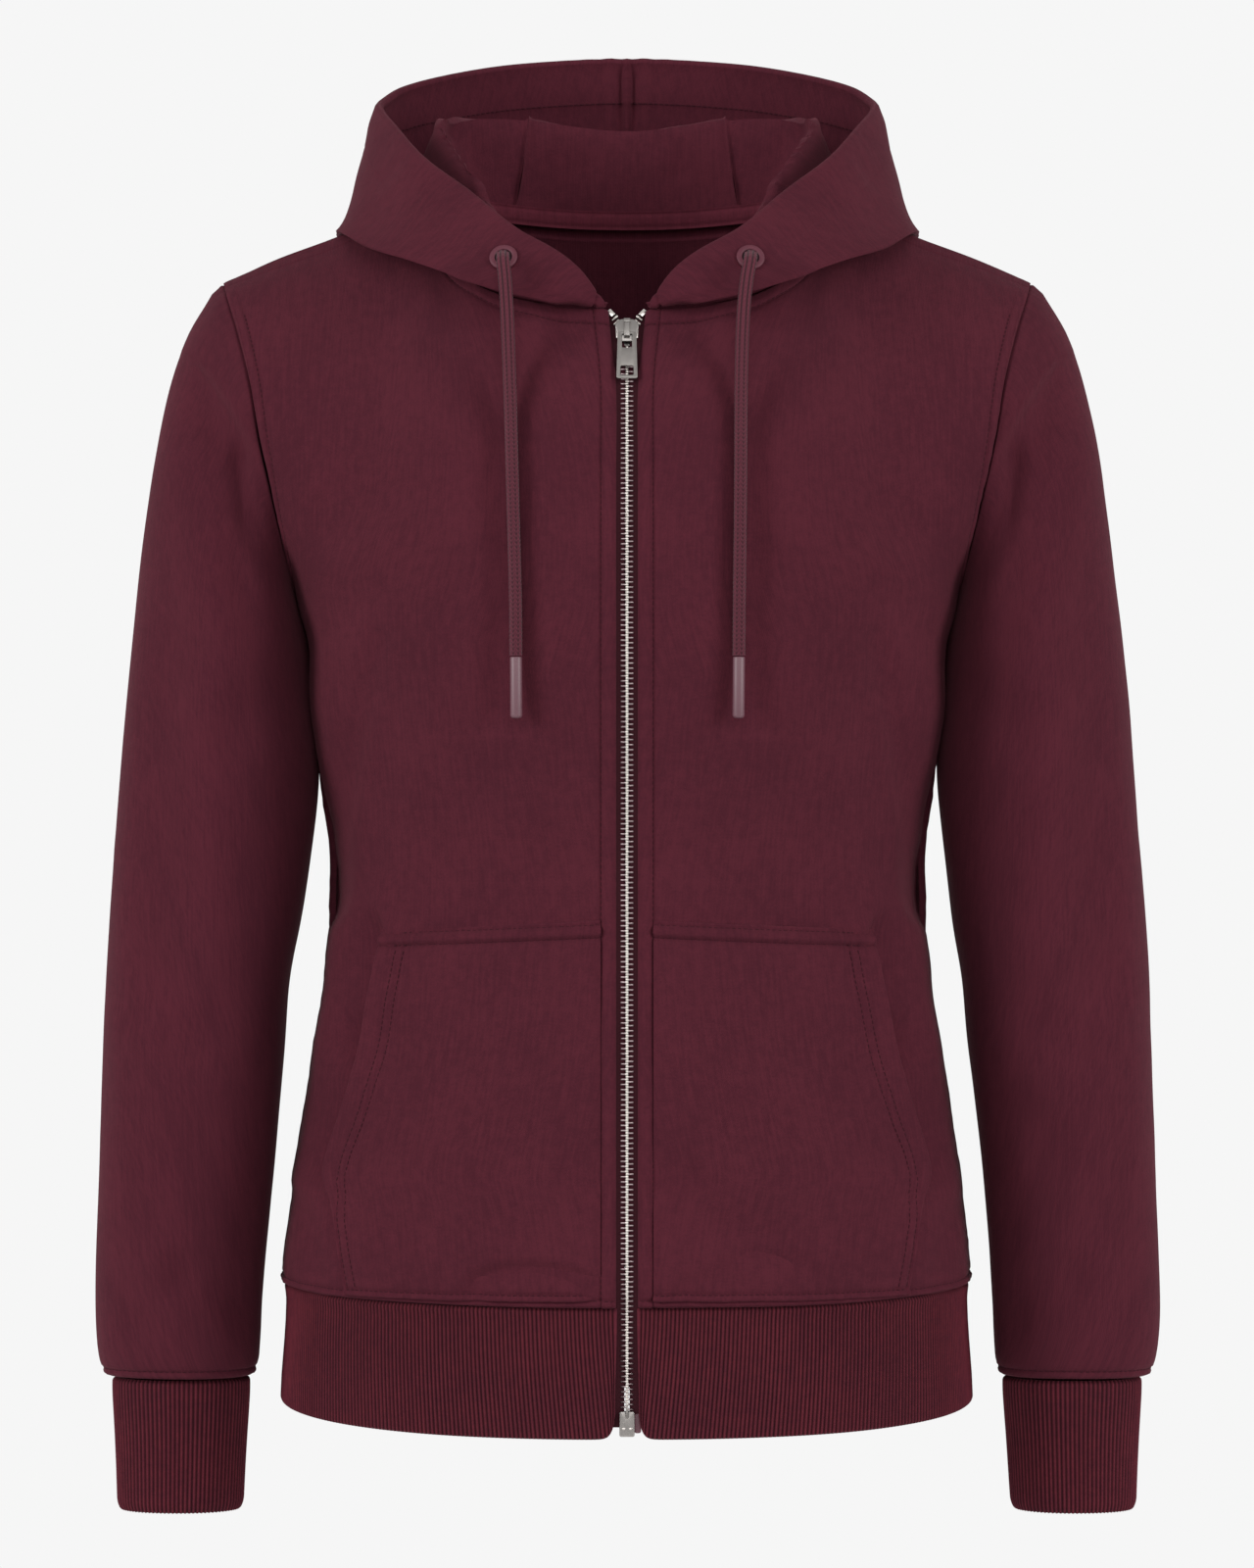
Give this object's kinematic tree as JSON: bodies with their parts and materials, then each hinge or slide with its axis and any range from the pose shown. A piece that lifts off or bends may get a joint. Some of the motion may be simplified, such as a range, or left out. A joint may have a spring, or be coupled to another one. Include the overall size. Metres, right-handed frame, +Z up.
{
  "type": "zip-up hoodie",
  "caption": "Zip-up hooded sweatshirt with set-in sleeves, kangaroo pocket halves, ribbed cuffs and hem, filled out as when worn.",
  "frame": {"origin": "on the garment's middle plane, level with the top of the shoulder seams beside the neck, where the wearer's shoulders hold it up", "axes": "+Z up along the zip, -Y out of the front, +X to the viewer's right when the front is seen"},
  "size_m": [0.551, 0.2795, 0.768],
  "materials": {
    "sweatshirt_knit": "brushed-back sweatshirt knit, matt",
    "rib_knit": "two by two rib, matt",
    "woven_tape": "narrow woven tape, matt",
    "braided_cord": "flat braided cord, slight sheen",
    "moulded_tip": "soft-touch moulded tip",
    "painted_eyelet": "satin paint",
    "zip_steel": "bright nickel-plated",
    "pull_steel": "dark nickel-plated"
  },
  "bodies": {
    "garment": {"front_left": "sweatshirt_knit", "front_right": "sweatshirt_knit", "back": "sweatshirt_knit", "sleeve_left": "sweatshirt_knit", "sleeve_right": "sweatshirt_knit", "pocket_left": "sweatshirt_knit", "pocket_right": "sweatshirt_knit", "hood_left": "sweatshirt_knit", "hood_right": "sweatshirt_knit", "hood_centre": "sweatshirt_knit", "cuff_left": "rib_knit", "cuff_right": "rib_knit", "hem_rib": "rib_knit", "zip_tape_left": "woven_tape", "zip_tape_right": "woven_tape", "neck_tape": "woven_tape", "cord_left": "braided_cord", "cord_right": "braided_cord", "aglet_left": "moulded_tip", "aglet_right": "moulded_tip", "eyelet_left": "painted_eyelet", "eyelet_right": "painted_eyelet", "zip_chain": "zip_steel", "zip_box": "zip_steel", "zip_slider": "zip_steel"},
    "pull": {"zip_pull": "pull_steel"}
  },
  "joints": [
    {"name": "pull_hinge", "type": "hinge", "parent": "garment", "child": "pull", "pos_m": [0, -0.09012, -0.08002], "axis": [-1, 0, 0], "range_deg": [0, 150]}
  ]
}
